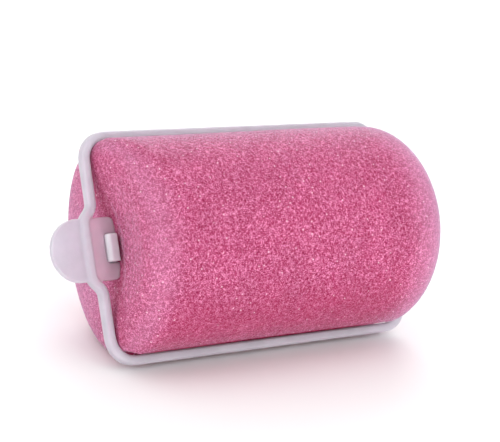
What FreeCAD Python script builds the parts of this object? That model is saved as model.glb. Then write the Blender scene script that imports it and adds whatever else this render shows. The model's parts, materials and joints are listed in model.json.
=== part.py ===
import FreeCAD, Part
import os
import re
import Sketcher

# Snap-on foam hair roller: a soft foam sleeve on a flat plastic core, with a loop-shaped
# plastic clamp that is hinged to one end of the core and snaps over a catch at the other.
#
# Each piece is drawn in the roller's own frame: X runs along the roller from the latch
# (-X) to the hinge (+X), the clamp's loop lies in the XZ plane, and the clamp opens
# towards -Y. The whole roller is then placed as it lies on a table: leaned back about X
# on the underside of its foam, with the lower rail just clear of the table top.

SIZES = {
    # clamp loop, outside sizes
    "loop_long": 66.6,
    "loop_wide": 40.6,
    "corner_round": 5.0,
    "corner_straight": 0.5,
    "bar_thick": 1.7,
    "bar_deep": 2.0,
    "bar_edge": 0.5,
    # the latch bar's outward arch, as wide as the plate that crosses it
    "arch_out": 2.0,
    "arch_bend": 1.5,
    # thumb tab outside the latch bar, tongue inside it
    "plate_half": 5.45,
    "plate_thick": 1.0,
    "plate_edge": 0.3,
    "tab_straight": 0.75,
    "tongue_reach": 4.8,
    "tongue_corner": 1.3,
    "notch_half": 2.6,
    "notch_reach": 2.3,
    # catch on the core, which stands in the tongue's notch
    "catch_half": 2.4,
    "catch_height": 1.8,
    "catch_back": 4.3,
    "catch_front": 2.7,
    "nose_out": 0.3,
    "nose_under": 0.65,
    "nose_tip": 1.2,
    "nose_ramp": 0.45,
    # core blade, just behind the loop's plane
    "blade_front": 0.8,
    "blade_thick": 1.4,
    "blade_half": 5.0,
    "blade_start": 31.1,
    "blade_corner": 1.0,
    # hinge: the clamp's round pin turns in two snap-on hooks
    "pin_radius": 1.0,
    "pin_half": 5.2,
    "pin_overlap": 0.4,
    "pin_play": 0.05,
    "hook_radius": 2.2,
    "hook_near": 1.2,
    "hook_tall": 3.5,
    "hook_mouth": 1.5,
    # foam sleeve
    "foam_radius": 19.0,
    "foam_left": 31.3,
    "foam_right": 31.0,
    "foam_edge": 4.5,
    "foam_gap": 0.3,
    "slot_play": 0.05,
    "recess_deep": 1.1,
    "swing_angle": 30.0,
    "swing_outside": 80.0,
    # how it lies on the table
    "lean_angle": 29.6,
    "axis_height": 18.7,
    "table_slab": 5.0,
    "table_half": 20.0,
    "table_long": 80.0,
}

# sizes that follow from the driving ones
DERIVED = {
    "half_long": "loop_long / 2",
    "half_wide": "loop_wide / 2",
    "rail_end": "loop_long / 2 - corner_round - corner_straight",
    "rail_inside": "loop_wide / 2 - bar_thick",
    "miter": "bar_thick * tan(22.5)",
    "bar_inside": "loop_long / 2 - bar_thick",
    "arch_outside": "loop_long / 2 + arch_out",
    "arch_inside": "loop_long / 2 + arch_out - bar_thick",
    "arch_foot": "plate_half + arch_out",
    "tongue_end": "loop_long / 2 - tongue_reach",
    "notch_floor": "loop_long / 2 - notch_reach",
    "catch_near": "loop_long / 2 - catch_front",
    "catch_far": "loop_long / 2 - catch_back",
    "pin_place": "loop_long / 2 - bar_thick / 2",
    "hook_start": "loop_long / 2 - bar_thick / 2 - hook_radius",
    "blade_back": "blade_front + blade_thick",
    "bar_swing": "pin_place + bar_inside - foam_gap",
    "tongue_swing": "pin_place + tongue_end - foam_gap",
}

# two places this close, in millimetres, are the same place
SAME = 1e-6

doc = FreeCAD.newDocument("FoamHairRoller")
sheet = doc.addObject("Spreadsheet::Sheet", "Sizes")


def cell_name(word):
    """A size's name as an expression knows it, and any other word as it is."""
    name = word.group(0)
    return "Sizes." + name if name in SIZES or name in DERIVED else name


def bound(formula):
    """The formula with each size's name pointing into the spreadsheet."""
    return re.sub("[a-z_]+", cell_name, formula)


def number(formula):
    """The formula's present value."""
    return float(sheet.evalExpression(bound(formula)))


def fill_sheet():
    """Driving sizes as plain numbers, then the sizes worked out from them."""
    rows = list(SIZES.items()) + list(DERIVED.items())
    for row, (name, value) in enumerate(rows, start=1):
        sheet.set("A%d" % row, name)
        cell = "B%d" % row
        sheet.setAlias(cell, name)
        if name in DERIVED:
            sheet.set(cell, "=" + value)
        else:
            sheet.set(cell, str(value))
    doc.recompute()


def new_piece(name):
    """An empty body, laid back on the table with the rest of the roller."""
    piece = doc.addObject("PartDesign::Body", name)
    piece.Label = name
    piece.Placement = FreeCAD.Placement(
        FreeCAD.Vector(0, 0, number("axis_height")),
        FreeCAD.Rotation(FreeCAD.Vector(-1, 0, 0), number("lean_angle")),
    )
    piece.setExpression("Placement.Base.z", bound("axis_height"))
    piece.setExpression("Placement.Rotation.Angle", bound("lean_angle"))
    return piece


def put_at(feature, corner):
    """Binds a feature's place to three formulas."""
    for axis, formula in zip("xyz", corner):
        feature.setExpression("Placement.Base." + axis, bound(formula))


def add_block(piece, name, low, high, kind="Additive"):
    """A box from its low corner to its high corner."""
    block = piece.newObject("PartDesign::%sBox" % kind, name)
    for side, start, end in zip(("Length", "Width", "Height"), low, high):
        block.setExpression(side, bound("(%s) - (%s)" % (end, start)))
    put_at(block, low)
    return block


def add_rod(piece, name, radius, length, start, turn=None, kind="Additive"):
    """A cylinder along Z from its start point, or along the turned Z."""
    rod = piece.newObject("PartDesign::%sCylinder" % kind, name)
    rod.setExpression("Radius", bound(radius))
    rod.setExpression("Height", bound(length))
    if turn is not None:
        rod.Placement = FreeCAD.Placement(FreeCAD.Vector(), turn)
    put_at(rod, start)
    return rod


def origin_plane(piece, role):
    """One of the body's own origin planes."""
    return [plane for plane in piece.Origin.OriginFeatures if plane.Role == role][0]


def draw_outline(piece, name, role, corners):
    """A closed outline of straight sides, each corner pinned by two formulas."""
    sketch = piece.newObject("Sketcher::SketchObject", name)
    sketch.AttachmentSupport = [(origin_plane(piece, role), "")]
    sketch.MapMode = "FlatFace"
    points = [FreeCAD.Vector(number(across), number(up), 0) for across, up in corners]
    for start, end in zip(points, points[1:] + points[:1]):
        sketch.addGeometry(Part.LineSegment(start, end))
    for side, corner in enumerate(corners):
        before = (side - 1) % len(corners)
        sketch.addConstraint(Sketcher.Constraint("Coincident", before, 2, side, 1))
        for kind, formula in zip(("DistanceX", "DistanceY"), corner):
            rule = Sketcher.Constraint(kind, -1, 1, side, 1, number(formula))
            index = sketch.addConstraint(rule)
            sketch.setExpression("Constraints[%d]" % index, bound(formula))
    return sketch


def pad_outline(piece, sketch, thickness):
    """The outline made solid, half of the thickness to each side of its plane."""
    pad = piece.newObject("PartDesign::Pad", sketch.Name + "_pad")
    pad.Profile = sketch
    pad.SideType = "Symmetric"
    pad.setExpression("Length", bound(thickness))
    sketch.Visibility = False
    return pad


def upright_edges(feature, places):
    """Names of the edges parallel to Y that stand at the given (x, z) places."""
    names = []
    for index, edge in enumerate(feature.Shape.Edges, start=1):
        middle = edge.CenterOfMass
        ends = [vertex.Point for vertex in edge.Vertexes]
        if len(ends) < 2 or abs(ends[0].y - ends[1].y) < number("plate_edge"):
            continue
        for x_formula, z_formula in places:
            gap = FreeCAD.Vector(middle.x - number(x_formula), 0, middle.z - number(z_formula))
            if gap.Length < number("slot_play"):
                names.append("Edge%d" % index)
    return names


def rim_edges(feature, half_depth, cut_places):
    """Names of the edges on both faces of a plate or bar, less those on its cut ends."""
    names = []
    for index, edge in enumerate(feature.Shape.Edges, start=1):
        box = edge.BoundBox
        on_face = box.YLength < SAME and abs(abs(box.YMin) - number(half_depth)) < SAME
        on_cut = any(
            box.XLength < SAME and abs(box.XMin - number(place)) < SAME
            for place in cut_places
        )
        if on_face and not on_cut:
            names.append("Edge%d" % index)
    return names


def round_edges(piece, name, names, radius):
    """A fillet on the named edges of the body's last feature."""
    fillet = piece.newObject("PartDesign::Fillet", name)
    fillet.Base = (fillet.BaseFeature, names)
    fillet.setExpression("Radius", bound(radius))
    doc.recompute()
    return fillet


def round_bar_edges(piece, name, cut_places):
    """The soft edge that every bar of the clamp has along both of its faces."""
    names = rim_edges(piece.Tip, "bar_deep / 2", cut_places)
    round_edges(piece, name, names, "bar_edge")


def mirrored_down(corners):
    """An open outline's corners followed by their mirror image across z = 0."""
    return corners + [(across, "-(%s)" % up) for across, up in reversed(corners)]


def make_latch_bar():
    """End bar with both left corners and a middle that arches outwards."""
    piece = new_piece("clamp_latch_bar")
    outside = [
        ("-rail_end", "half_wide"),
        ("-half_long", "half_wide"),
        ("-half_long", "arch_foot"),
        ("-arch_outside", "plate_half"),
    ]
    inside = [
        ("-rail_end", "-rail_inside"),
        ("-bar_inside", "-rail_inside"),
        ("-bar_inside", "-(arch_foot - miter)"),
        ("-arch_inside", "-(plate_half - miter)"),
    ]
    corners = mirrored_down(outside) + mirrored_down(inside)
    sketch = draw_outline(piece, "latch_bar_outline", "XZ_Plane", corners)
    pad_outline(piece, sketch, "bar_deep")
    doc.recompute()
    outer = [("-half_long", "half_wide"), ("-half_long", "-half_wide")]
    round_edges(piece, "latch_outer_corners", upright_edges(piece.Tip, outer), "corner_round")
    inner = [("-bar_inside", "rail_inside"), ("-bar_inside", "-rail_inside")]
    round_edges(piece, "latch_inner_corners", upright_edges(piece.Tip, inner), "corner_round - bar_thick")
    bends = [
        ("-half_long", "arch_foot"),
        ("-half_long", "-arch_foot"),
        ("-bar_inside", "arch_foot - miter"),
        ("-bar_inside", "-(arch_foot - miter)"),
    ]
    round_edges(piece, "latch_arch_bends", upright_edges(piece.Tip, bends), "arch_bend")
    round_bar_edges(piece, "latch_bar_edges", ["-rail_end"])


def make_hinge_bar():
    """End bar with both right corners, round where it turns in the core's hooks."""
    piece = new_piece("clamp_hinge_bar")
    corners = mirrored_down([("rail_end", "half_wide"), ("half_long", "half_wide")])
    corners += mirrored_down([("rail_end", "-rail_inside"), ("bar_inside", "-rail_inside")])
    sketch = draw_outline(piece, "hinge_bar_outline", "XZ_Plane", corners)
    pad_outline(piece, sketch, "bar_deep")
    doc.recompute()
    outer = [("half_long", "half_wide"), ("half_long", "-half_wide")]
    round_edges(piece, "hinge_outer_corners", upright_edges(piece.Tip, outer), "corner_round")
    inner = [("bar_inside", "rail_inside"), ("bar_inside", "-rail_inside")]
    round_edges(piece, "hinge_inner_corners", upright_edges(piece.Tip, inner), "corner_round - bar_thick")
    round_bar_edges(piece, "hinge_bar_edges", ["rail_end"])
    low = ("bar_inside - bar_thick", "-bar_deep", "-pin_half")
    high = ("half_long + bar_thick", "bar_deep", "pin_half")
    add_block(piece, "pin_gap", low, high, "Subtractive")
    add_rod(
        piece,
        "hinge_pin",
        "pin_radius",
        "2 * (pin_half + pin_overlap)",
        ("pin_place", "0", "-(pin_half + pin_overlap)"),
    )


def make_rails():
    """The two long sides of the clamp, above and below the foam."""
    for name, low, high in (
        ("clamp_top_rail", "rail_inside", "half_wide"),
        ("clamp_bottom_rail", "-half_wide", "-rail_inside"),
    ):
        piece = new_piece(name)
        add_block(
            piece,
            name + "_block",
            ("-rail_end", "-bar_deep / 2", low),
            ("rail_end", "bar_deep / 2", high),
        )
        doc.recompute()
        round_bar_edges(piece, name + "_edges", ["-rail_end", "rail_end"])


def make_tongue():
    """Inner half of the latch plate, notched for the catch."""
    piece = new_piece("clamp_tongue")
    upper = [
        ("-notch_floor", "notch_half"),
        ("-tongue_end", "notch_half"),
        ("-tongue_end", "plate_half"),
        ("-arch_inside + miter", "plate_half"),
        ("-arch_inside", "plate_half - miter"),
    ]
    sketch = draw_outline(piece, "tongue_outline", "XZ_Plane", mirrored_down(upper))
    pad_outline(piece, sketch, "plate_thick")
    doc.recompute()
    tips = [("-tongue_end", "plate_half"), ("-tongue_end", "-plate_half")]
    round_edges(piece, "tongue_corners", upright_edges(piece.Tip, tips), "tongue_corner")


def make_thumb_tab():
    """Outer half of the latch plate, a half-round tab for the thumb."""
    piece = new_piece("clamp_thumb_tab")
    add_block(
        piece,
        "tab_root",
        ("-(arch_outside + tab_straight)", "-plate_thick / 2", "-plate_half"),
        ("-arch_outside", "plate_thick / 2", "plate_half"),
    )
    towards_tip = FreeCAD.Rotation(FreeCAD.Vector(1, 0, 0), 90).multiply(
        FreeCAD.Rotation(FreeCAD.Vector(0, 0, 1), 90)
    )
    tip = add_rod(
        piece,
        "tab_tip",
        "plate_half",
        "plate_thick",
        ("-(arch_outside + tab_straight)", "plate_thick / 2", "0"),
        towards_tip,
    )
    tip.Angle = 180
    doc.recompute()
    names = rim_edges(piece.Tip, "plate_thick / 2", ["-arch_outside"])
    round_edges(piece, "tab_rim", names, "plate_edge")


def make_core_blade():
    """Flat strip through the foam that carries the catch and the hinge hooks."""
    piece = new_piece("core_blade")
    add_block(
        piece,
        "blade_strip",
        ("-blade_start", "blade_front", "-blade_half"),
        ("hook_start", "blade_back", "blade_half"),
    )
    doc.recompute()
    tips = [("-blade_start", "blade_half"), ("-blade_start", "-blade_half")]
    round_edges(piece, "blade_corners", upright_edges(piece.Tip, tips), "blade_corner")


def make_catch():
    """Block that stands up through the tongue's notch, with a small bevelled nose."""
    piece = new_piece("core_catch")
    corners = [
        ("-catch_far", "blade_front"),
        ("-catch_far", "-catch_height"),
        ("-(catch_near + nose_out - nose_ramp)", "-catch_height"),
        ("-(catch_near + nose_out)", "-nose_tip"),
        ("-(catch_near + nose_out)", "-nose_under"),
        ("-catch_near", "-nose_under"),
        ("-catch_near", "blade_front"),
    ]
    sketch = draw_outline(piece, "catch_outline", "XY_Plane", corners)
    pad_outline(piece, sketch, "2 * catch_half")


def make_hinge_hooks():
    """Two open hooks at the core's far end that the clamp's pin snaps into."""
    for name, foot in (
        ("core_upper_hook", "hook_near"),
        ("core_lower_hook", "-(hook_near + hook_tall)"),
    ):
        head = "(%s) + hook_tall" % foot
        piece = new_piece(name)
        add_rod(piece, name + "_ring", "hook_radius", "hook_tall", ("pin_place", "0", foot))
        add_block(
            piece,
            name + "_root",
            ("hook_start", "blade_front", foot),
            ("pin_place", "blade_back", head),
        )
        add_rod(
            piece,
            name + "_bore",
            "pin_radius + pin_play",
            "hook_tall",
            ("pin_place", "0", foot),
            kind="Subtractive",
        )
        add_block(
            piece,
            name + "_mouth",
            ("pin_place", "-hook_mouth / 2", foot),
            ("pin_place + 2 * hook_radius", "hook_mouth / 2", head),
            "Subtractive",
        )


def clear_swing(piece, name, radius, half_height):
    """Takes away what lies outside a radius about the hinge pin, in front of the loop."""
    corners = [
        ("-swing_outside", "-(%s)" % half_height),
        ("-(%s)" % radius, "-(%s)" % half_height),
        ("-(%s)" % radius, half_height),
        ("-swing_outside", half_height),
    ]
    sketch = draw_outline(piece, name + "_outline", "XZ_Plane", corners)
    sketch.setExpression("AttachmentOffset.Base.x", bound("pin_place"))
    groove = piece.newObject("PartDesign::Groove", name)
    groove.Profile = sketch
    groove.ReferenceAxis = (sketch, ["V_Axis"])
    groove.setExpression("Angle", bound("swing_angle"))
    sketch.Visibility = False
    doc.recompute()
    return groove


def make_foam():
    """Soft sleeve: a cylinder with rounded rims, pressed flat along the rails and underneath,
    with a slot for the core."""
    piece = new_piece("foam_sleeve")
    along = FreeCAD.Rotation(FreeCAD.Vector(0, 1, 0), 90)
    add_rod(
        piece,
        "foam_round",
        "foam_radius",
        "foam_left + foam_right",
        ("-foam_left", "0", "0"),
        along,
    )
    doc.recompute()
    rims = [
        "Edge%d" % index
        for index, edge in enumerate(piece.Tip.Shape.Edges, start=1)
        if edge.BoundBox.XLength < SAME
    ]
    round_edges(piece, "foam_rims", rims, "foam_edge")
    for name, low, high in (
        ("upper_rail_flat", "rail_inside - foam_gap", "foam_radius"),
        ("lower_rail_flat", "-foam_radius", "-(rail_inside - foam_gap)"),
    ):
        add_block(
            piece,
            name,
            ("-half_long", "-foam_radius", low),
            ("half_long", "foam_radius", high),
            "Subtractive",
        )
    clear_swing(piece, "bar_clearance", "bar_swing", "half_wide")
    clear_swing(piece, "tongue_clearance", "tongue_swing", "plate_half + foam_gap")
    add_block(
        piece,
        "tongue_pocket",
        ("-half_long", "-plate_thick", "-(plate_half + foam_gap)"),
        ("-(tongue_end - foam_gap)", "blade_front", "plate_half + foam_gap"),
        "Subtractive",
    )
    add_block(
        piece,
        "core_slot",
        ("-half_long", "blade_front - slot_play", "-(blade_half + slot_play)"),
        ("half_long", "blade_back + slot_play", "blade_half + slot_play"),
        "Subtractive",
    )
    reach = "hook_near + hook_tall + foam_gap"
    add_block(
        piece,
        "hook_recess",
        ("foam_right - recess_deep", "-(hook_radius + foam_gap)", "-(%s)" % reach),
        ("half_long", "hook_radius + foam_gap", reach),
        "Subtractive",
    )
    table = piece.newObject("PartDesign::SubtractiveBox", "table_flat")
    table.Placement = FreeCAD.Placement(
        FreeCAD.Vector(),
        FreeCAD.Rotation(FreeCAD.Vector(1, 0, 0), number("lean_angle")),
    )
    table.setExpression("Length", bound("table_long"))
    table.setExpression("Width", bound("2 * table_half"))
    table.setExpression("Height", bound("table_slab"))
    table.setExpression("Placement.Rotation.Angle", bound("lean_angle"))
    depth = "(axis_height + table_slab)"
    put_at(
        table,
        (
            "-table_long / 2",
            depth + " * sin(lean_angle) - table_half * cos(lean_angle)",
            "-" + depth + " * cos(lean_angle) - table_half * sin(lean_angle)",
        ),
    )


def check_document():
    """Stops if any feature failed or any piece is not one valid solid."""
    doc.recompute()
    for item in doc.Objects:
        if "Invalid" in item.State or "Error" in item.State:
            raise RuntimeError(item.Label + " did not recompute: " + str(item.State))
    for piece in pieces():
        shape = piece.Shape
        if shape.isNull() or not shape.isValid() or len(shape.Solids) != 1:
            raise RuntimeError(piece.Label + " is not one valid solid")


def pieces():
    """All bodies of the document, one for each node."""
    return [item for item in doc.Objects if item.isDerivedFrom("PartDesign::Body")]


def export_pieces():
    """Writes each piece to a STEP file with the piece's own name."""
    os.makedirs("parts", exist_ok=True)
    for piece in pieces():
        piece.Shape.exportStep("parts/" + piece.Label + ".step")
        box = piece.Shape.BoundBox
        print(
            "%-18s %8.1f mm3  x %.2f..%.2f  y %.2f..%.2f  z %.2f..%.2f"
            % (
                piece.Label,
                piece.Shape.Volume,
                box.XMin,
                box.XMax,
                box.YMin,
                box.YMax,
                box.ZMin,
                box.ZMax,
            )
        )


fill_sheet()
make_foam()
make_core_blade()
make_catch()
make_hinge_hooks()
make_rails()
make_latch_bar()
make_hinge_bar()
make_tongue()
make_thumb_tab()
check_document()
export_pieces()
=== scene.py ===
import json
import math

import bmesh
import bpy
import numpy as np
from bpy.props import FloatProperty, FloatVectorProperty, PointerProperty
from mathutils import Matrix, Vector


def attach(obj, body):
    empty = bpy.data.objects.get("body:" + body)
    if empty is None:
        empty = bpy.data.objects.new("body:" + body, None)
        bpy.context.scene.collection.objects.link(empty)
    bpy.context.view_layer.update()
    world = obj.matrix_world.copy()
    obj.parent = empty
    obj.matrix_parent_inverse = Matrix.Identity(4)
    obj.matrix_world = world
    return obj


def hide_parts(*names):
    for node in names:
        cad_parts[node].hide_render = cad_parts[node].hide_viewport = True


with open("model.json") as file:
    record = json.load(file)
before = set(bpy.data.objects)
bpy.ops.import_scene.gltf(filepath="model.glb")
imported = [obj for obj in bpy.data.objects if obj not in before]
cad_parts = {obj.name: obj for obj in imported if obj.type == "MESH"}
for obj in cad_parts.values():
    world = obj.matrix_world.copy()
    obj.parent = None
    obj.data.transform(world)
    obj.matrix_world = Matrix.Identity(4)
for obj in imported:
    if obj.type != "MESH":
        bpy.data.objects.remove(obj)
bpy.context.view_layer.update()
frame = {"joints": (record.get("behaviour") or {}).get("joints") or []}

bl_info = {
    "name": "Foam Hair Roller",
    "version": (1, 0, 0),
    "blender": (4, 5, 0),
    "location": "3D View > Sidebar > Hair Roller",
    "description": "Builds the foam sleeve, core and snap-on clamp of a foam hair roller",
    "category": "Object",
}

MM = 0.001
SEED = 11

# The roller lies back on its foam, so its own axes come from the clamp's hinge:
# X runs along the roller, Z along the hinge pin, and the clamp opens towards -Y.
HINGE = next(joint for joint in frame["joints"] if joint["name"] == "clamp_swing")
PIN = Vector(HINGE["pos_m"])
ALONG = Vector((1.0, 0.0, 0.0))
UP = Vector(HINGE["axis"]).normalized()
BACK = UP.cross(ALONG)
OWN_AXES = np.array((ALONG, BACK, UP))
AXIS_POINT = np.array((0.0, 0.0, PIN.z))


# ---------------------------------------------------------------- sizes and colours


def linear(code):
    """An sRGB hex colour as linear red, green, blue and alpha."""
    channels = [int(code[place:place + 2], 16) / 255.0 for place in (0, 2, 4)]
    straight = [c / 12.92 if c <= 0.04045 else ((c + 0.055) / 1.055) ** 2.4 for c in channels]
    return (*straight, 1.0)


def length(name, description, millimetres):
    """A length that a user may change, in metres, from its value in millimetres."""
    default = millimetres * MM
    return FloatProperty(name=name, description=description, default=default, unit="LENGTH")


def angle(name, description, degrees):
    """An angle that a user may change, in radians, from its value in degrees."""
    default = math.radians(degrees)
    return FloatProperty(name=name, description=description, default=default, unit="ROTATION")


def colour(name, description, code):
    """A colour that a user may change, linear, from its six sRGB hex digits."""
    return FloatVectorProperty(
        name=name,
        description=description,
        default=linear(code),
        size=4,
        subtype="COLOR",
    )


class RollerFoamSettings(bpy.types.PropertyGroup):
    """The soft sleeve."""

    radius: length("Radius", "Foam radius", 18.95)
    left: length("Latch end", "Distance of the latch-end rim from the middle", 31.3)
    right: length("Hinge end", "Distance of the hinge-end rim from the middle", 32.3)
    back_pull: length("Back pull", "How far the latch end's back is drawn in", 3.5)
    rim_side: length("Side rim", "Latch-end rim radius beside the rails", 3.2)
    rim_front: length("Front rim", "Latch-end rim radius on the side that the clamp opens to", 6.5)
    rim_back: length("Back rim", "Latch-end rim radius on the far side", 4.3)
    rim_hinge: length("Hinge rim", "Rim radius at the hinge end", 5.5)
    rail_press: length("Rail squeeze", "How near the axis the upper rail presses the foam", 18.5)
    rail_gap: length("Lower rail gap", "How much further the foam draws in at the lower rail", 0.9)
    bar_press: length("Bar squeeze", "How near the middle the hinge bar presses the foam", 31.4)
    dish: length("Dish", "How deep the latch end is dished round the core", 2.4)
    dish_reach: length("Dish reach", "Radius at which the dish begins", 15.0)
    mouth_depth: length("Mouth depth", "How much deeper the foam gapes beside the tongue", 0.5)
    recess_depth: length("Recess depth", "How deep the foam gives way to the hinge hooks", 1.2)
    cell: length("Cell", "Distance between neighbouring cells of the foam", 0.55)
    cell_depth: length("Cell depth", "Depth of the open cells at the surface", 0.12)
    pitch: length("Mesh pitch", "Distance between neighbouring points of the skin", 0.35)


class RollerClampSettings(bpy.types.PropertyGroup):
    """The loop-shaped clamp and its latch plate."""

    loop_long: length("Loop length", "Outside length of the loop", 66.6)
    loop_wide: length("Loop width", "Outside width of the loop", 40.6)
    corner: length("Corner", "Outside radius of the loop's corners", 5.0)
    bar_thick: length("Bar thickness", "Bar size in the loop's plane", 1.7)
    bar_deep: length("Bar depth", "Bar size across the loop's plane", 2.0)
    bar_edge: length("Bar edge", "Radius along the bar's edges", 0.55)
    arch_out: length("Arch", "How far the latch bar arches outwards", 2.0)
    plate_half: length("Plate half width", "Half of the latch plate's width", 5.45)
    plate_thick: length("Plate thickness", "Thickness of tab and tongue", 1.0)
    tab_straight: length("Tab straight", "Straight part of the tab before its round end", 0.75)
    tongue_reach: length("Tongue reach", "Tongue tip inside the loop's outer edge", 4.8)
    tongue_corner: length("Tongue corner", "Radius of the tongue's corners", 1.3)
    notch_half: length("Notch half width", "Half of the notch for the catch", 2.46)
    notch_reach: length("Notch reach", "Notch floor inside the loop's outer edge", 2.45)
    pin_half: length("Pin half length", "Half of the round hinge pin", 5.2)
    pin_radius: length("Pin radius", "Radius of the hinge pin", 1.0)
    voxel: length("Voxel", "Grain at which the moulding's parts are run together", 0.17)


class RollerCoreSettings(bpy.types.PropertyGroup):
    """The flat core with its catch and hinge hooks."""

    blade_front: length("Blade front", "Blade's front face behind the loop's plane", 0.8)
    blade_thick: length("Blade thickness", "Thickness of the blade", 1.4)
    blade_half: length("Blade half width", "Half of the blade's width", 5.0)
    blade_start: length("Blade start", "Blade's latch end from the middle", 31.1)
    catch_half: length("Catch half width", "Half of the catch's width", 2.4)
    catch_height: length("Catch height", "Catch above the loop's plane", 1.8)
    catch_near: length("Catch near side", "Catch's outer side inside the loop's edge", 2.7)
    catch_far: length("Catch far side", "Catch's inner side inside the loop's edge", 4.3)
    nose_out: length("Nose", "How far the catch's nose stands out over the tongue", 0.45)
    hook_radius: length("Hook radius", "Outside radius of the hinge hooks", 2.2)
    hook_near: length("Hook near end", "Near end of each hook from the middle", 1.2)
    hook_tall: length("Hook height", "Height of each hook along the pin", 3.5)
    bore: length("Bore", "Inside radius of the hooks", 1.05)
    mouth: length("Mouth", "Opening of the hooks", 1.5)
    voxel: length("Voxel", "Grain at which the moulding's parts are run together", 0.17)


class RollerLooks(bpy.types.PropertyGroup):
    """Colours of the two plastics and of the foam."""

    foam_body: colour("Foam", "Foam between its pores", "B54270")
    # The pores' darkness is partly painted shade and the struts' paleness partly painted highlight.
    foam_pore: colour("Foam pore", "Deep inside the pores", "82083A")
    foam_strut: colour("Foam strut", "Raised struts that catch the light", "F09CC4")
    # Painted shade in the crevice by the lower rail, over the lower side and beside the latch bar.
    foam_painted_shade: colour("Pressed foam", "Foam pressed against the plastic", "980A40")
    # Painted glints of cell films.
    foam_glint: colour("Foam film", "Cell films that mirror the light", "FFE9F4")
    # Painted rim light, partly the paleness of struts that stand free.
    foam_rim_light: colour("Foam rim", "Free struts round the rims", "CF9EC0")
    foam_sheen: colour("Foam sheen", "Haze at grazing angles", "DCEBFF")
    # Painted light: the foam's glow through the thin tongue.
    foam_glow: colour("Foam glow", "Foam colour seen through the thin tongue", "EE8FB2")
    plastic: colour("Plastic", "Milky clamp plastic", "E0DCE6")
    plastic_core: colour("Core plastic", "Milky core plastic", "ECE8F0")
    floor: colour("Floor", "Plain floor", "FBFBFB")


class RollerCamera(bpy.types.PropertyGroup):
    """Where the stage's camera stands."""

    azimuth: angle("Azimuth", "Turn about the object", -38.89)
    elevation: angle("Elevation", "Height above the object", 17.92)
    roll: angle("Roll", "Tilt of the camera", 9.36)
    distance: length("Distance", "Distance from the target", 320.4)
    lens: FloatProperty(name="Lens", description="Focal length", default=127.7, unit="CAMERA")
    target: FloatVectorProperty(
        name="Target",
        description="Point that the camera looks at",
        default=(0.22 * MM, 0.91 * MM, 21.31 * MM),
        subtype="TRANSLATION",
    )


class RollerSettings(bpy.types.PropertyGroup):
    """Everything that can be changed."""

    foam: PointerProperty(type=RollerFoamSettings, name="Foam", description="Foam sleeve")
    clamp: PointerProperty(type=RollerClampSettings, name="Clamp", description="Clamp")
    core: PointerProperty(type=RollerCoreSettings, name="Core", description="Core")
    looks: PointerProperty(type=RollerLooks, name="Looks", description="Colours")
    camera: PointerProperty(type=RollerCamera, name="Camera", description="Camera")


def settings():
    """The scene's roller settings."""
    return bpy.context.scene.hair_roller


# ---------------------------------------------------------------- shapes


def to_frame(own):
    """Points in the roller's own axes turned and lifted to where it lies in the frame."""
    return own @ OWN_AXES + AXIS_POINT


def ease(value, zero, full):
    """Cubic ease 3a^2 - 2a^3 of the share a, held between 0 and 1, that a value has gone of
    the way from where the result is 0 to where it is 1."""
    share = np.clip((value - zero) / (full - zero), 0.0, 1.0)
    return share * share * (3.0 - 2.0 * share)


def put_in(name, own, faces):
    """A new object at the origin from points in the roller's own axes and face lists."""
    mesh = bpy.data.meshes.new(name)
    mesh.from_pydata(to_frame(own).tolist(), [], faces)
    mesh.validate()
    mesh.update()
    piece = bpy.data.objects.new(name, mesh)
    bpy.context.scene.collection.objects.link(piece)
    return piece


def shade_smooth(piece):
    """Smooth shading on every face."""
    flags = np.ones(len(piece.data.polygons), dtype=bool)
    piece.data.polygons.foreach_set("use_smooth", flags)


def ring_faces(rings, around, closed_rings):
    """Quads between neighbouring rings of points, each ring closed on itself."""
    last = rings if closed_rings else rings - 1
    ring, step = np.meshgrid(np.arange(last), np.arange(around), indexing="ij")
    after = (ring + 1) % rings
    beside = (step + 1) % around
    here, there = ring * around, after * around
    quads = np.stack((here + step, here + beside, there + beside, there + step), axis=-1)
    return quads.reshape(-1, 4).tolist()


def arc(centre, radius, start, end, steps):
    """Points of a circle's arc: centre plus radius times (cos, sin) of evenly spaced degrees."""
    angle = np.radians(np.linspace(start, end, steps))
    return np.column_stack((centre[0] + radius * np.cos(angle), centre[1] + radius * np.sin(angle)))


def evenly(points, step):
    """A closed outline's points spaced evenly by arc length, linear between its corners."""
    closed = np.vstack((points, points[:1]))
    runs = np.hypot(*np.diff(closed, axis=0).T)
    travelled = np.concatenate(((0.0,), np.cumsum(runs)))
    wanted = np.linspace(0.0, travelled[-1], int(travelled[-1] / step), endpoint=False)
    return np.column_stack([np.interp(wanted, travelled, closed[:, side]) for side in (0, 1)])


def eased(points, passes):
    """A closed outline with its corners eased: each pass takes a quarter of both neighbours
    and half of the point itself."""
    for _ in range(passes):
        before, after = np.roll(points, 1, axis=0), np.roll(points, -1, axis=0)
        points = 0.25 * before + 0.5 * points + 0.25 * after
    return points


def prism(name, outline, low, high, across):
    """A closed prism. The outline (two columns) is repeated at low and high along the third
    axis, which is Y when across is "XZ" and Z when it is "XY", and capped at both ends."""
    count = len(outline)
    order = (0, 2, 1) if across == "XZ" else (0, 1, 2)
    levels = [np.column_stack((outline, np.full(count, level))) for level in (low, high)]
    own = np.vstack(levels)[:, order]
    faces = ring_faces(2, count, False)
    faces.append(list(range(count))[::-1])
    faces.append(list(range(count, 2 * count)))
    return put_in(name, own, faces)


def rounded_section(width, height, radius, steps=5):
    """A rounded rectangle about the origin: four quarter arcs about its inset corners."""
    x, y = width / 2 - radius, height / 2 - radius
    return np.vstack(
        (
            arc((x, y), radius, 0, 90, steps),
            arc((-x, y), radius, 90, 180, steps),
            arc((-x, -y), radius, 180, 270, steps),
            arc((x, -y), radius, 270, 360, steps),
        )
    )


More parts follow.
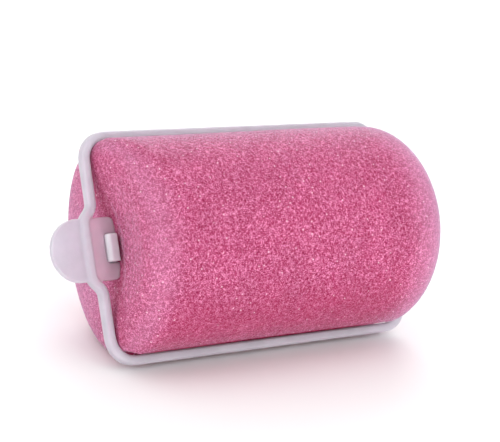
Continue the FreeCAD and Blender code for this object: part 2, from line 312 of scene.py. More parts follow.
def loop_tube(name, path, section, pin_half, pin_radius):
    """A section carried round a closed path in the XZ plane. At each point of the path, the
    section's first number goes along the path's outward normal and its second along Y.
    On the hinge side it eases over 1 mm into a circle within the pin's half length."""
    tangent = np.roll(path, -1, axis=0) - np.roll(path, 1, axis=0)
    tangent /= np.hypot(*tangent.T)[:, None]
    normal = np.column_stack((tangent[:, 1], -tangent[:, 0]))
    circle = section / np.hypot(*section.T)[:, None] * pin_radius
    share = ease(np.abs(path[:, 1]), pin_half, pin_half - 1.0 * MM) * (path[:, 0] > 0)
    shaped = section + share[:, None, None] * (circle - section)
    in_plane = path[:, None, :] + shaped[..., :1] * normal[:, None, :]
    own = np.stack((in_plane[..., 0], shaped[..., 1], in_plane[..., 1]), axis=-1).reshape(-1, 3)
    return put_in(name, own, ring_faces(len(path), len(section), True))


def run_together(name, parts, voxel, passes):
    """Joins overlapping closed parts into one skin, as a mould does: voxel remesh, then a
    light smoothing that rounds the inside corners."""
    bpy.ops.object.select_all(action="DESELECT")
    for part in parts:
        recalculate(part)
        part.select_set(True)
    bpy.context.view_layer.objects.active = parts[0]
    bpy.ops.object.join()
    piece = parts[0]
    piece.name = name
    piece.data.name = name
    remesh = piece.modifiers.new("Run together", "REMESH")
    remesh.mode = "VOXEL"
    remesh.voxel_size = voxel
    remesh.use_smooth_shade = True
    soften = piece.modifiers.new("Soften", "SMOOTH")
    soften.factor = 0.5
    soften.iterations = passes
    apply_modifiers(piece)
    shade_smooth(piece)
    return piece


def recalculate(piece):
    """Turns every face of a closed part outwards."""
    mesh = bmesh.new()
    mesh.from_mesh(piece.data)
    bmesh.ops.recalc_face_normals(mesh, faces=mesh.faces)
    mesh.to_mesh(piece.data)
    mesh.free()


def apply_modifiers(piece):
    """Makes the modifiers' result the piece's own mesh."""
    graph = bpy.context.evaluated_depsgraph_get()
    finished = bpy.data.meshes.new_from_object(piece.evaluated_get(graph))
    piece.modifiers.clear()
    piece.data = finished


# ---------------------------------------------------------------- foam

# How much painted rim light the foam gets, from 0 to 1, where the cut turns a rim; at the
# latch rim it partly stands for the paleness of struts that stand free.
BACK_PALE = 0.7
HINGE_FACE_PALE = 0.3
LATCH_PALE = 0.35              # on the latch-end rim
PALEST_TURN = 36.0             # how many degrees the surface has turned there
PALE_REACH = 12.0 * MM         # how far before the hinge end the paleness begins

# How much painted shade the foam gets, from 0 to 1, over its lower side and beside the latch bar.
LOW_SIDE_SHADE = 0.35
BESIDE_BAR_SHADE = 0.3

# Half depth, half height and soft edge of the dents where the core comes out of the foam.
TONGUE_MOUTH = (1.2 * MM, 5.9 * MM, 2.6 * MM)
HOOK_RECESS = (2.4 * MM, 5.0 * MM, 2.0 * MM)

WAVE_HEIGHT = 0.12 * MM
WAVE_UNIT = 9.0 * MM           # the unit of length in the slow waves' sines
PIT_FULL = 0.625               # difference of the two cell distances where a pit is deepest


def cell_noise(points, pitch, seed):
    """Distances to the nearest and second nearest of one scattered centre in each cube of a
    grid of the given pitch, in pitches. A centre is its cube's corner plus three fractions,
    each the fractional part of a large number times the sine of a mix of the corner's
    coordinates."""
    scaled = points / pitch
    cube = np.floor(scaled)
    nearest = np.full(len(points), np.inf)
    second = np.full(len(points), np.inf)
    mix = np.array(((127.1, 311.7, 74.7), (269.5, 183.3, 246.1), (113.5, 271.9, 124.6)))
    for offset in np.ndindex(3, 3, 3):
        corner = cube + np.array(offset) - 1.0
        fraction = np.modf(np.abs(np.sin(corner @ mix.T + seed) * 43758.5453))[0]
        away = np.linalg.norm(corner + fraction - scaled, axis=1)
        second = np.minimum(second, np.maximum(nearest, away))
        nearest = np.minimum(nearest, away)
    return nearest, second


def sleeve_grid(foam):
    """The plain sleeve on a grid of steps along its half section and angles about X, from the
    latch end's middle round both rims to the hinge end's middle. x and the distance from
    the axis follow a straight end, a quarter arc, the straight side, a quarter arc and a
    straight end. The latch-end arc's radius changes from the side value at the rails to the
    back or front value with the square of the angle's cosine. Returns points, outward
    normals and how much painted rim light each point gets: most at one turn of the latch
    rim, at the back of that end, and over the stretch before the hinge end, less on its face."""
    around = int(2.0 * math.pi * foam.radius / foam.pitch)
    turn = np.linspace(0.0, 2.0 * math.pi, around, endpoint=False)
    backwards, upwards = np.cos(turn), np.sin(turn)
    far_rim = np.where(backwards > 0.0, foam.rim_back, foam.rim_front)
    latch_rim = foam.rim_side + (far_rim - foam.rim_side) * backwards**2
    hinge_rim = np.full(around, foam.rim_hinge)
    side = np.linspace(0.0, 1.0, int((foam.left + foam.right) / foam.pitch))[:, None]
    latch_x, latch_radius, latch_tilt = sleeve_end(foam, latch_rim)
    hinge_x, hinge_radius, hinge_tilt = sleeve_end(foam, hinge_rim)
    start, stop = latch_rim - foam.left, foam.right - hinge_rim
    side_x = start + side * (stop - start)
    side_radius = np.full((len(side), around), foam.radius)
    side_tilt = np.full(len(side), math.pi / 2)
    x = np.vstack((latch_x - foam.left, side_x, (foam.right - hinge_x)[::-1]))
    radius = np.vstack((latch_radius, side_radius, hinge_radius[::-1]))
    tilt = np.concatenate((latch_tilt, side_tilt, math.pi - hinge_tilt[::-1]))
    tilt = np.broadcast_to(tilt[:, None], x.shape)
    points = np.stack((x, radius * backwards, radius * upwards), axis=-1)
    outwards = np.sin(tilt)
    normals = np.stack((-np.cos(tilt), outwards * backwards, outwards * upwards), axis=-1)
    turned = np.degrees(tilt)
    # Painted rim light at the latch rim, at the back of the latch end and before the hinge end.
    at_latch = ease(np.abs(turned - PALEST_TURN), 90.0 - PALEST_TURN, 0.0)
    at_hinge = ease(x, foam.right - PALE_REACH, foam.right)
    at_hinge *= HINGE_FACE_PALE + (1.0 - HINGE_FACE_PALE) * ease(turned, 180.0, 120.0)
    at_back = ease(turned, 100.0, 40.0) * np.maximum(backwards, 0.0)
    return points, normals, np.maximum(LATCH_PALE * at_latch, BACK_PALE * at_back) + at_hinge


def sleeve_end(foam, rim):
    """One end of the sleeve from its middle to the start of its straight side: distance in
    from the end, distance from the axis, and how far the surface has turned. The flat is
    evenly divided, then the arc goes r (1 - cos t) in and r sin t out."""
    flat = np.linspace(0.0, 1.0, int((foam.radius - rim.max()) / foam.pitch), endpoint=False)[1:]
    bend = np.linspace(0.0, math.pi / 2, int(math.pi / 2 * rim.max() / foam.pitch), endpoint=False)
    inner = foam.radius - rim
    inwards = np.vstack((np.zeros((len(flat), len(rim))), np.outer(1.0 - np.cos(bend), rim)))
    radius = np.vstack((np.outer(flat, inner), inner + np.outer(np.sin(bend), rim)))
    return inwards, radius, np.concatenate((np.zeros(len(flat)), bend))


def hollow(own, size, depth):
    """A soft-edged dent: full depth inside a flat oblong of the end face, easing to nothing
    over the soft distance outside it. The size is the oblong's two halves and that distance."""
    half_y, half_z, soft = size
    outside_y = np.maximum(np.abs(own[:, 1]) - half_y, 0.0)
    outside_z = np.maximum(np.abs(own[:, 2]) - half_z, 0.0)
    return depth * ease(np.hypot(outside_y, outside_z), soft, 0.0)


def pressed_end(own, foam):
    """Places along X held back where the hinge bar crosses the end: the limit rises smoothly
    from the bar's inner side to just past the free end over the 4 mm outside the bar."""
    half_bar, soft, spare = 1.2 * MM, 4.0 * MM, 0.3 * MM
    rise = ease(np.abs(own[:, 1]), half_bar, half_bar + soft)
    limit = foam.bar_press + (foam.right - foam.bar_press + spare) * rise
    return np.minimum(own[:, 0], limit)


def squeezed(own, foam):
    """Heights held down where a rail lies: the limit rises smoothly from the rails' inner
    side to just past the radius, over 1.6 mm beside the upper rail and over 4 mm beside
    the lower one, where the foam draws in further and leaves a crevice."""
    half_rail, spare = 1.0 * MM, 0.4 * MM
    upper_soft, lower_soft = 1.6 * MM, 4.0 * MM
    free = foam.radius + spare
    off_plane = np.abs(own[:, 1])
    high = foam.rail_press
    low = foam.rail_press - foam.rail_gap
    upper = high + (free - high) * ease(off_plane, half_rail, half_rail + upper_soft)
    lower = low + (free - low) * ease(off_plane, half_rail, half_rail + lower_soft)
    return np.clip(own[:, 2], -lower, upper)


def latch_end(own, foam):
    """How far each point is drawn towards the hinge: behind the core by the back pull times
    (y / radius)^1.2, easing to nothing at mid length, and on the end face by the dish
    times (1 - (r / reach)^2)^2 at a distance r from the axis."""
    near_end = ease(own[:, 0], 0.0, -foam.left)
    behind = np.maximum(own[:, 1], 0.0) / foam.radius
    out = np.minimum(np.hypot(own[:, 1], own[:, 2]) / foam.dish_reach, 1.0)
    on_face = own[:, 0] < foam.rim_front - foam.left
    return foam.back_pull * behind**1.2 * near_end + on_face * foam.dish * (1.0 - out**2) ** 2


def foam_skin(foam):
    """The sleeve with its latch-end cut leaning, dents where the core comes out, grooves
    along the rails, a slow waviness, and cells: each point moves in along its normal by
    the cell depth times how near it is to the middle of its cell. Points that would sink
    under the table are lifted onto it. Also returns how much painted rim light each point
    gets, and how much painted shade it gets beside the lower rail, over the lower side and
    beside the latch bar."""
    points, normals, painted_rim_light = sleeve_grid(foam)
    rings, around = points.shape[:2]
    poles = np.array(((-foam.left, 0.0, 0.0), (foam.right, 0.0, 0.0)))
    own = np.vstack((poles[:1], points.reshape(-1, 3), poles[1:]))
    normal = np.vstack(((-1.0, 0.0, 0.0), normals.reshape(-1, 3), (1.0, 0.0, 0.0)))
    # rim: the painted rim light of each point.
    rim = np.concatenate(((0.0,), painted_rim_light.ravel(), (0.0,)))

    # deep: the painted shade of each point.
    deep = painted_shade_share(own, foam)
    own[:, 0] += latch_end(own, foam)
    own[:, 0] = pressed_end(own, foam)
    own[:, 2] = squeezed(own, foam)
    own += normal * (WAVE_HEIGHT * waviness(own))[:, None]
    nearest, second = cell_noise(own, foam.cell, SEED)
    pit = ease(second - nearest, 0.0, PIT_FULL)
    own -= normal * (foam.cell_depth * pit)[:, None]
    latch_face = own[:, 0] < -foam.left + 4.0 * MM
    hinge_face = own[:, 0] > foam.bar_press - 2.0 * MM
    own[:, 0] += latch_face * hollow(own, TONGUE_MOUTH, foam.mouth_depth)
    own[:, 0] -= hinge_face * hollow(own, HOOK_RECESS, foam.recess_depth)

    upwards = OWN_AXES[:, 2]
    own -= np.minimum(own @ upwards + PIN.z, 0.0)[:, None] * upwards

    faces = (np.array(ring_faces(rings, around, False)) + 1).tolist()
    step = np.arange(around)
    beside = (step + 1) % around
    last = 1 + (rings - 1) * around
    faces += np.column_stack((np.zeros(around, int), 1 + beside, 1 + step)).tolist()
    faces += np.column_stack((np.full(around, len(own) - 1), last + step, last + beside)).tolist()
    return own, faces, rim, deep


def painted_shade_share(own, foam):
    """How much painted shade each point gets, from 0 to 1: 1 in the crevice beside the lower
    rail to 3.2 mm off the loop's plane and easing to 0 by 5.2 mm, and less over the
    sleeve's lower side from 8 to 16 mm below the axis. Both fade out from 6 to 1 mm before
    the latch end and from 14 to 4 mm before the hinge end. On the latch end's face, the
    foam beside the bar gets painted shade too."""
    off_plane = np.abs(own[:, 1])
    inwards = ease(own[:, 0], -foam.left + 1.0 * MM, -foam.left + 6.0 * MM)
    inwards *= ease(own[:, 0], foam.right - 4.0 * MM, foam.right - 14.0 * MM)
    crevice = ease(off_plane, 5.2 * MM, 3.2 * MM) * (own[:, 2] < -17.0 * MM)
    low_side = LOW_SIDE_SHADE * ease(own[:, 2], -8.0 * MM, -16.0 * MM)
    on_face = own[:, 0] < foam.rim_side - foam.left
    beside_bar = BESIDE_BAR_SHADE * ease(off_plane, 4.5 * MM, 0.0) * on_face
    return np.maximum(np.maximum(crevice, low_side) * inwards, beside_bar)


def waviness(own):
    """Slow unevenness between -1 and 1: a sum of three sines along different directions."""
    scaled = own / WAVE_UNIT
    return (
        np.sin(scaled @ np.array((1.0, 0.7, 0.3)))
        + np.sin(scaled @ np.array((-0.6, 1.1, 0.9)) + 1.7)
        + np.sin(scaled @ np.array((0.4, -0.9, 1.3)) + 4.1)
    ) / 3.0


# ---------------------------------------------------------------- clamp and core


def clamp_path(clamp):
    """The loop's middle line in the XZ plane, from the hinge bar's upper corner round by the
    latch: four quarter arcs and a latch bar that steps outwards at 45 degrees to each side
    of its middle. It is then evenly divided and its corners are eased."""
    corner_steps, spacing, passes = 12, 0.3 * MM, 10
    half = clamp.bar_thick / 2
    x = clamp.loop_long / 2 - half
    z = clamp.loop_wide / 2 - half
    corner = clamp.corner - half
    inset_x, inset_z = x - corner, z - corner
    foot = clamp.plate_half + clamp.arch_out - half * math.tan(math.radians(22.5))
    flat = foot - clamp.arch_out
    arched = -x - clamp.arch_out
    outline = np.vstack(
        (
            arc((inset_x, inset_z), corner, 0, 90, corner_steps),
            arc((-inset_x, inset_z), corner, 90, 180, corner_steps),
            ((-x, foot), (arched, flat), (arched, -flat), (-x, -foot)),
            arc((-inset_x, -inset_z), corner, 180, 270, corner_steps),
            arc((inset_x, -inset_z), corner, 270, 360, corner_steps),
        )
    )
    return eased(evenly(outline, spacing), passes)


def plate_outline(clamp):
    """The latch plate's outline: a half circle at the tab's tip, straight sides under the
    latch bar, rounded tongue corners and a square notch between them."""
    half, round_off = clamp.plate_half, clamp.tongue_corner
    root = -(clamp.loop_long / 2 + clamp.arch_out + clamp.tab_straight)
    tip = -(clamp.loop_long / 2 - clamp.tongue_reach)
    notch = -(clamp.loop_long / 2 - clamp.notch_reach)
    return np.vstack(
        (
            arc((root, 0.0), half, 90, 270, 40),
            arc((tip - round_off, -half + round_off), round_off, 270, 360, 8),
            (tip, -clamp.notch_half),
            (notch, -clamp.notch_half),
            (notch, clamp.notch_half),
            (tip, clamp.notch_half),
            arc((tip - round_off, half - round_off), round_off, 0, 90, 8),
        )
    )


def hook_outline(core, pin_x):
    """A hinge hook seen along the pin: an open ring whose back runs into the blade. The ring
    leaves the blade at 159 degrees, near where its circle crosses the blade's front."""
    leaves_blade, lap = 159, 0.2 * MM
    back = pin_x - core.hook_radius - lap
    open_half = math.degrees(math.asin(core.mouth / 2 / core.bore))
    outer_half = math.degrees(math.asin(core.mouth / 2 / core.hook_radius))
    return np.vstack(
        (
            arc((pin_x, 0.0), core.hook_radius, outer_half, 90, 12),
            (back, core.hook_radius),
            (back, core.blade_front),
            arc((pin_x, 0.0), core.hook_radius, leaves_blade, 360 - outer_half, 24),
            arc((pin_x, 0.0), core.bore, 360 - open_half, open_half, 32),
        )
    )


def catch_outline(core, half_long):
    """The catch from the side: a block with a bevelled nose towards the latch bar, whose
    underside stands just clear of the tongue's face."""
    bevel_long, bevel_tall, underside = 0.45 * MM, 0.6 * MM, -0.58 * MM
    near = -(half_long - core.catch_near)
    far = -(half_long - core.catch_far)
    nose = near - core.nose_out
    inside = core.blade_front + core.blade_thick / 2
    return np.array(
        (
            (far, inside),
            (far, -core.catch_height),
            (nose + bevel_long, -core.catch_height),
            (nose, -core.catch_height + bevel_tall),
            (nose, underside),
            (near, underside),
            (near, inside),
        )
    )


# ---------------------------------------------------------------- materials

# A colour Mix node's sockets, which share their names with its other kinds'.
MIX_SHARE, MIX_FIRST, MIX_SECOND, MIXED = 0, 6, 7, 2


def add_node(tree, kind, inputs=None, links=None, stops=(), **values):
    """One node with its settings, its inputs' values, its links and, for a colour ramp, its
    stops, each a place and a colour."""
    node = tree.nodes.new(kind)
    for name, value in values.items():
        setattr(node, name, value)
    for socket, value in (inputs or {}).items():
        node.inputs[socket].default_value = value
    for socket, source in (links or {}).items():
        tree.links.new(source, node.inputs[socket])
    for _ in stops[2:]:
        node.color_ramp.elements.new(0.5)
    for number, (place, shade) in enumerate(stops):
        node.color_ramp.elements[number].position = place
        node.color_ramp.elements[number].color = shade
    return node


def new_material(name):
    """An empty node material with its output node."""
    material = bpy.data.materials.new(name)
    material.use_nodes = True
    material.node_tree.nodes.clear()
    output = add_node(material.node_tree, "ShaderNodeOutputMaterial")
    return material, material.node_tree, output


def foam_material():
    """Open-cell polyurethane foam, dyed through and cut: matt struts round dark open cells,
    the pores' darkness partly painted shade and the struts' paleness partly painted
    highlight. Painted rim light where the cut turns a rim, partly the paleness of struts
    that stand free; painted shade in the crevice by the lower rail, over the lower side
    and beside the latch bar; and a few painted glints of cell films. The cells are drawn
    at the foam's real pitch."""
    looks, foam = settings().looks, settings().foam
    grit_size, patch_size, film_spacing = 0.13 * MM, 7.0 * MM, 1.6 * MM
    material, tree, output = new_material("polyurethane_foam_open_cell")
    place = add_node(tree, "ShaderNodeTexCoord").outputs["Object"]
    # rim carries the painted rim light and deep the painted shade.
    rim = add_node(tree, "ShaderNodeAttribute", attribute_name="rim").outputs["Fac"]
    deep = add_node(tree, "ShaderNodeAttribute", attribute_name="deep").outputs["Fac"]
    web = add_node(
        tree,
        "ShaderNodeTexVoronoi",
        inputs={"Scale": 1.0 / foam.cell, "Randomness": 1.0},
        links={"Vector": place},
    )
    grit = add_node(
        tree,
        "ShaderNodeTexNoise",
        inputs={"Scale": 1.0 / grit_size, "Detail": 0.0},
        links={"Vector": place},
    )
    patches = add_node(
        tree,
        "ShaderNodeTexNoise",
        inputs={"Scale": 1.0 / patch_size, "Detail": 2.0},
        links={"Vector": place},
    )
    relief = add_node(
        tree,
        "ShaderNodeMath",
        operation="MULTIPLY_ADD",
        inputs={1: 0.28},
        links={0: web.outputs["Distance"], 2: grit.outputs["Fac"]},
    )
    level = add_node(
        tree,
        "ShaderNodeMapRange",
        inputs={"From Min": 0.42, "From Max": 0.86},
        links={"Value": relief.outputs["Value"]},
    )
    # The cells' own pattern, its dark pores partly painted shade and its pale struts partly painted
    # highlight.
    body = add_node(
        tree,
        "ShaderNodeValToRGB",
        links={"Fac": level.outputs["Result"]},
        stops=(
            (0.10, looks.foam_pore),
            (0.45, looks.foam_body),
            (0.60, looks.foam_body),
            (1.0, looks.foam_strut),
        ),
    )
    # Painted rim light: a pale colour mixed in by the rim attribute.
    pale = add_node(
        tree,
        "ShaderNodeMath",
        operation="MULTIPLY",
        inputs={1: 0.65},
        links={0: rim},
    )
    hazed = add_node(
        tree,
        "ShaderNodeMix",
        data_type="RGBA",
        inputs={MIX_SECOND: looks.foam_rim_light},
        links={MIX_SHARE: pale.outputs["Value"], MIX_FIRST: body.outputs["Color"]},
    )
    # Painted shade: a dark saturated colour mixed in by the deep attribute.
    shaded = add_node(
        tree,
        "ShaderNodeMix",
        data_type="RGBA",
        inputs={MIX_SECOND: looks.foam_painted_shade},
        links={MIX_SHARE: deep, MIX_FIRST: hazed.outputs[MIXED]},
    )
    tone = add_node(
        tree,
        "ShaderNodeMapRange",
        inputs={"From Min": 0.3, "From Max": 0.7, "To Min": 0.93, "To Max": 1.06},
        links={"Value": patches.outputs["Fac"]},
    )
    toned = add_node(
        tree,
        "ShaderNodeHueSaturation",
        links={"Value": tone.outputs["Result"], "Color": shaded.outputs[MIXED]},
    )
    # Painted glints: sparse white specks of cell films mixed into the colour.
    films = add_node(
        tree,
        "ShaderNodeTexVoronoi",
        inputs={"Scale": 1.0 / film_spacing, "Randomness": 1.0},
        links={"Vector": place},
    )
    glint = add_node(
        tree,
        "ShaderNodeValToRGB",
        links={"Fac": films.outputs["Distance"]},
        stops=(
            (0.0, (0.75, 0.75, 0.75, 1.0)),
            (0.07, (0.6, 0.6, 0.6, 1.0)),
            (0.11, (0.0, 0.0, 0.0, 1.0)),
        ),
    )
    lit = add_node(
        tree,
        "ShaderNodeMix",
        data_type="RGBA",
        inputs={MIX_SECOND: looks.foam_glint},
        links={MIX_SHARE: glint.outputs["Color"], MIX_FIRST: toned.outputs["Color"]},
    )
    bump = add_node(
        tree,
        "ShaderNodeBump",
        inputs={"Strength": 0.3, "Distance": 0.12 * MM},
        links={"Height": level.outputs["Result"]},
    )
    # Less sheen where the painted shade lies.
    haze = add_node(
        tree,
        "ShaderNodeMapRange",
        inputs={"To Min": 0.65, "To Max": 0.0},
        links={"Value": deep},
    )
    shader = add_node(
        tree,
        "ShaderNodeBsdfPrincipled",
        inputs={
            "Roughness": 0.75,
            "Sheen Roughness": 0.28,
            "Sheen Tint": looks.foam_sheen,
            "Specular IOR Level": 0.2,
            "Subsurface Weight": 0.45,
            "Subsurface Radius": (1.0, 0.25, 0.5),
            "Subsurface Scale": 1.5 * MM,
        },
        links={
            "Base Color": lit.outputs[MIXED],
            "Sheen Weight": haze.outputs["Result"],
            "Normal": bump.outputs["Normal"],
        },
    )
    tree.links.new(shader.outputs["BSDF"], output.inputs["Surface"])
    return material


def plastic_material(name, shade, clear, with_glow=False):
    """Polypropylene, injection moulded in a fine-textured tool: milky and satin, letting a
    little of what lies behind it through, with faint flow marks."""
    mark_size, texture_size, mark_shade = 3.0 * MM, 0.12 * MM, 0.88
    material, tree, output = new_material(name)
    place = add_node(tree, "ShaderNodeTexCoord").outputs["Object"]
    marks = add_node(
        tree,
        "ShaderNodeTexNoise",
        inputs={"Scale": 1.0 / mark_size, "Detail": 3.0},
        links={"Vector": place},
    )
    darker = (*(channel * mark_shade for channel in shade[:3]), 1.0)
    body = add_node(
        tree,
        "ShaderNodeValToRGB",
        links={"Fac": marks.outputs["Fac"]},
        stops=((0.3, darker), (0.7, shade)),
    ).outputs["Color"]
    # Painted light: the foam's glow painted onto the tongue.
    if with_glow:
        body = tongue_glow(tree, place, body)
    grain = add_node(
        tree,
        "ShaderNodeTexNoise",
        inputs={"Scale": 1.0 / texture_size, "Detail": 2.0},
        links={"Vector": place},
    )
    satin = add_node(
        tree,
        "ShaderNodeMapRange",
        inputs={"To Min": 0.28, "To Max": 0.46},
        links={"Value": grain.outputs["Fac"]},
    )
    bump = add_node(
        tree,
        "ShaderNodeBump",
        inputs={"Strength": 0.12, "Distance": 0.03 * MM},
        links={"Height": grain.outputs["Fac"]},
    )
    shader = add_node(
        tree,
        "ShaderNodeBsdfPrincipled",
        inputs={
            "IOR": 1.49,
            "Transmission Weight": clear,
            "Subsurface Weight": 0.8,
            "Subsurface Radius": (1.0, 0.8, 0.9),
            "Subsurface Scale": 1.2 * MM,
        },
        links={
            "Base Color": body,
            "Roughness": satin.outputs["Result"],
            "Normal": bump.outputs["Normal"],
        },
    )
    tree.links.new(shader.outputs["BSDF"], output.inputs["Surface"])
    return material


def tongue_glow(tree, place, body):
    """Painted light: the foam's pink glow through the thin tongue, painted into the plastic's
    colour from the latch bar's inner side to the tongue's tip, a little stronger at the bar."""
    clamp = settings().clamp
    bar_inside = -(clamp.loop_long / 2 + clamp.arch_out - clamp.bar_thick)
    tip = -(clamp.loop_long / 2 - clamp.tongue_reach)
    parts = add_node(tree, "ShaderNodeSeparateXYZ", links={"Vector": place})
    glow = add_node(
        tree,
        "ShaderNodeMapRange",
        inputs={"From Min": bar_inside + 0.4 * MM, "From Max": tip, "To Min": 0.26, "To Max": 0.22},
        links={"Value": parts.outputs["X"]},
    )
    inside = add_node(
        tree,
        "ShaderNodeMapRange",
        interpolation_type="SMOOTHSTEP",
        inputs={"From Min": bar_inside - 0.5 * MM, "From Max": bar_inside + 0.5 * MM},
        links={"Value": parts.outputs["X"]},
    )
    before = add_node(
        tree,
        "ShaderNodeMapRange",
        inputs={
            "From Min": tip + 0.2 * MM,
            "From Max": tip + 0.4 * MM,
            "To Min": 1.0,
            "To Max": 0.0,
        },
        links={"Value": parts.outputs["X"]},
    )
    along_pin = add_node(
        tree,
        "ShaderNodeVectorMath",
        operation="DOT_PRODUCT",
        inputs={1: tuple(UP)},
        links={0: place},
    )
    from_middle = add_node(
        tree,
        "ShaderNodeMath",
        operation="SUBTRACT",
        inputs={1: PIN.dot(UP)},
        links={0: along_pin.outputs["Value"]},
    )
    off_axis = add_node(
        tree,
        "ShaderNodeMath",
        operation="ABSOLUTE",
        links={0: from_middle.outputs["Value"]},
    )
    within = add_node(
        tree,
        "ShaderNodeMapRange",
        inputs={
            "From Min": clamp.plate_half + 0.1 * MM,
            "From Max": clamp.plate_half + 0.4 * MM,
            "To Min": 1.0,
            "To Max": 0.0,
        },
        links={"Value": off_axis.outputs["Value"]},
    )
    share = glow.outputs["Result"]
    for mask in (inside, before, within):
        share = add_node(
            tree,
            "ShaderNodeMath",
            operation="MULTIPLY",
            links={0: share, 1: mask.outputs["Result"]},
        ).outputs["Value"]
    return add_node(
        tree,
        "ShaderNodeMix",
        data_type="RGBA",
        inputs={MIX_SECOND: settings().looks.foam_glow},
        links={MIX_SHARE: share, MIX_FIRST: body},
    ).outputs[MIXED]


def floor_material():
    """Matt white card."""
    material, tree, output = new_material("matt_white_card")
    shader = add_node(
        tree,
        "ShaderNodeBsdfPrincipled",
        inputs={
            "Base Color": settings().looks.floor,
            "Roughness": 0.9,
            "Specular IOR Level": 0.1,
        },
    )
    tree.links.new(shader.outputs["BSDF"], output.inputs["Surface"])
    return material


# ---------------------------------------------------------------- operators

FLOOR_HALF = 3.0
SURROUNDINGS = 0.9

# Name, place and size in metres, and power in watts, of each square lamp.
LIGHTS = (
    ("top_light", (-0.05, -0.05, 0.65), 0.50, 0.5),
    ("front_light", (-0.20, -0.75, 0.16), 0.70, 1.4),
    ("low_light", (0.00, -0.45, 0.05), 0.08, 0.35),
    ("back_light", (0.35, 0.50, 0.40), 0.50, 2.0),
    ("left_light", (-0.65, 0.05, 0.25), 0.50, 1.0),
)


def camera_place(view):
    """The camera's matrix: it stands off the target by the distance, turned by the azimuth
    and raised by the elevation, and looks back at it, rolled about its line of sight."""
    turn, rise = view.azimuth, view.elevation
    level = Vector((math.sin(turn), -math.cos(turn), 0.0))
    back = math.cos(rise) * level + Vector((0.0, 0.0, math.sin(rise)))
    right = Vector((math.cos(turn), math.sin(turn), 0.0))
    tilted_right = math.cos(view.roll) * right + math.sin(view.roll) * back.cross(right)
    axes = Matrix((tilted_right, back.cross(tilted_right), back)).transposed().to_4x4()
    return Matrix.Translation(Vector(view.target) + back * view.distance) @ axes


class HAIRROLLER_OT_stage(bpy.types.Operator):
    """Adds the floor, the soft lights, the pale surroundings and the camera"""

    bl_idname = "hair_roller.stage"
    bl_label = "Stage"

    def execute(self, context):
        view = settings().camera
        corners = np.array(((-1, -1, 0), (1, -1, 0), (1, 1, 0), (-1, 1, 0))) * FLOOR_HALF
        mesh = bpy.data.meshes.new("floor")
        mesh.from_pydata(corners.tolist(), [], [(0, 1, 2, 3)])
        floor = bpy.data.objects.new("floor", mesh)
        floor.data.materials.append(floor_material())
        context.scene.collection.objects.link(floor)

        world = bpy.data.worlds.new("pale_surroundings")
        world.use_nodes = True
        background = world.node_tree.nodes["Background"]
        background.inputs["Color"].default_value = (1.0, 1.0, 1.0, 1.0)
        background.inputs["Strength"].default_value = SURROUNDINGS
        context.scene.world = world
        context.scene.view_settings.view_transform = "Standard"

        for name, place, size, power in LIGHTS:
            lamp = bpy.data.lights.new(name, "AREA")
            lamp.energy = power
            lamp.size = size
            light = bpy.data.objects.new(name, lamp)
            light.location = place
            aim = Vector((0.0, 0.0, PIN.z)) - Vector(place)
            light.rotation_euler = aim.to_track_quat("-Z", "Y").to_euler()
            context.scene.collection.objects.link(light)

        lens = bpy.data.cameras.new("camera")
        lens.lens = view.lens
        lens.clip_start = 0.01
        camera = bpy.data.objects.new("camera", lens)
        camera.matrix_world = camera_place(view)
        context.scene.collection.objects.link(camera)
        context.scene.camera = camera
        return {"FINISHED"}


class HAIRROLLER_OT_foam(bpy.types.Operator):
    """Makes the foam sleeve in place of its plain solid"""

    bl_idname = "hair_roller.foam"
    bl_label = "Foam sleeve"

    def execute(self, context):
        own, faces, rim, deep = foam_skin(settings().foam)
        piece = put_in("foam_sleeve_skin", own, faces)
        shade_smooth(piece)
        # rim holds the painted rim light and deep the painted shade.
        for name, share in (("rim", rim), ("deep", deep)):
            worn = piece.data.attributes.new(name, "FLOAT", "POINT")
            worn.data.foreach_set("value", share.astype(np.float32))
        piece.data.materials.append(foam_material())
        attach(piece, "core")
        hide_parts("foam_sleeve")
        return {"FINISHED"}


class HAIRROLLER_OT_clamp(bpy.types.Operator):
    """Makes the clamp as the one moulding that it is"""

    bl_idname = "hair_roller.clamp"
    bl_label = "Clamp"

    def execute(self, context):
        clamp, shade = settings().clamp, settings().looks.plastic
        half_plate = clamp.plate_thick / 2
        section = rounded_section(clamp.bar_thick, clamp.bar_deep, clamp.bar_edge)
        loop = loop_tube("loop", clamp_path(clamp), section, clamp.pin_half, clamp.pin_radius)
        plate = prism("plate", plate_outline(clamp), -half_plate, half_plate, "XZ")
        piece = run_together("clamp_moulding", [loop, plate], clamp.voxel, 6)
        # The clamp's tongue gets the painted glow of the foam.
        plastic = plastic_material("polypropylene_moulded_clamp", shade, 0.35, with_glow=True)
        piece.data.materials.clear()
        piece.data.materials.append(plastic)
        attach(piece, "clamp")
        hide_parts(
            "clamp_top_rail",
            "clamp_bottom_rail",
            "clamp_latch_bar",
            "clamp_hinge_bar",
            "clamp_tongue",
            "clamp_thumb_tab",
        )
        return {"FINISHED"}


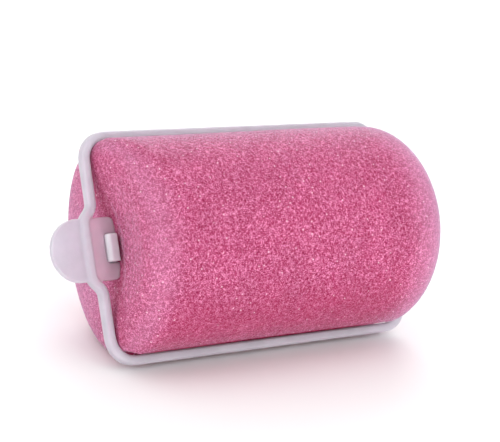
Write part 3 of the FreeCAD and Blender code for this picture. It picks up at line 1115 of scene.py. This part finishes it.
class HAIRROLLER_OT_core(bpy.types.Operator):
    """Makes the core as the one moulding that it is"""

    bl_idname = "hair_roller.core"
    bl_label = "Core"

    def execute(self, context):
        core, clamp, shade = settings().core, settings().clamp, settings().looks.plastic_core
        blade_edge = 0.3 * MM
        half_long = clamp.loop_long / 2
        pin_x = half_long - clamp.bar_thick / 2
        blade_end = pin_x - core.hook_radius
        middle = (blade_end - core.blade_start) / 2
        section = rounded_section(blade_end + core.blade_start, core.blade_thick, blade_edge)
        section += np.array((middle, core.blade_front + core.blade_thick / 2))
        parts = [
            prism("blade", section, -core.blade_half, core.blade_half, "XY"),
            prism("catch", catch_outline(core, half_long), -core.catch_half, core.catch_half, "XY"),
        ]
        for low in (core.hook_near, -core.hook_near - core.hook_tall):
            parts.append(prism("hook", hook_outline(core, pin_x), low, low + core.hook_tall, "XY"))
        piece = run_together("core_moulding", parts, core.voxel, 8)
        plastic = plastic_material("polypropylene_moulded_core", shade, 0.15)
        piece.data.materials.clear()
        piece.data.materials.append(plastic)
        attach(piece, "core")
        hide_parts("core_blade", "core_catch", "core_upper_hook", "core_lower_hook")
        return {"FINISHED"}


class HAIRROLLER_PT_panel(bpy.types.Panel):
    """Lists the steps in the 3D view's sidebar"""

    bl_idname = "HAIRROLLER_PT_panel"
    bl_label = "Hair Roller"
    bl_space_type = "VIEW_3D"
    bl_region_type = "UI"
    bl_category = "Hair Roller"

    def draw(self, context):
        for step in STEPS:
            self.layout.operator(step.bl_idname)


SETTINGS = (
    RollerFoamSettings,
    RollerClampSettings,
    RollerCoreSettings,
    RollerLooks,
    RollerCamera,
    RollerSettings,
)
STEPS = (HAIRROLLER_OT_stage, HAIRROLLER_OT_foam, HAIRROLLER_OT_clamp, HAIRROLLER_OT_core)
CLASSES = SETTINGS + STEPS + (HAIRROLLER_PT_panel,)


def register():
    for item in CLASSES:
        bpy.utils.register_class(item)
    bpy.types.Scene.hair_roller = PointerProperty(
        type=RollerSettings,
        name="Hair roller",
        description="Sizes and colours of the hair roller",
    )


def unregister():
    del bpy.types.Scene.hair_roller
    for item in reversed(CLASSES):
        bpy.utils.unregister_class(item)


def main():
    register()
    bpy.ops.hair_roller.stage()
    bpy.ops.hair_roller.foam()
    bpy.ops.hair_roller.clamp()
    bpy.ops.hair_roller.core()


if __name__ == "__main__":
    main()
